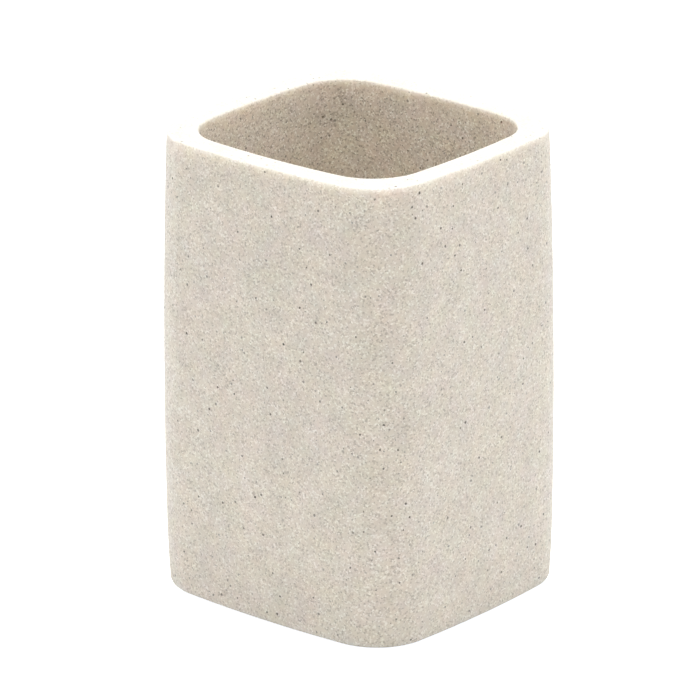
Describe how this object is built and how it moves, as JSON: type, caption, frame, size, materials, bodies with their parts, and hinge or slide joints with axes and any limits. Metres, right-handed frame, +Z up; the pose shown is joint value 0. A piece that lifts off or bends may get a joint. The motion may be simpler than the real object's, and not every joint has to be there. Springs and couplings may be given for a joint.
{
  "type": "bathroom tumbler",
  "caption": "Thick-walled rounded-square bathroom tumbler cast in speckled sandstone-look resin, open at the top, standing on soft stuck-on feet.",
  "frame": {"origin": "on the surface that the feet stand on, under the middle of the cup", "axes": "+Z up through the open mouth, +X to the right, -Y to the front"},
  "size_m": [0.075, 0.071, 0.11],
  "materials": {
    "sandstone_resin": "matte, fine sand grain with dark specks",
    "foot_silicone": "satin translucent grey",
    "adhesive_film": "clear tacky film"
  },
  "bodies": {
    "root": {"tumbler_body": "sandstone_resin", "foot_front_left": "foot_silicone", "foot_front_right": "foot_silicone", "foot_rear_left": "foot_silicone", "foot_rear_right": "foot_silicone", "adhesive_disc_front_left": "adhesive_film", "adhesive_disc_front_right": "adhesive_film", "adhesive_disc_rear_left": "adhesive_film", "adhesive_disc_rear_right": "adhesive_film"}
  },
  "joints": []
}
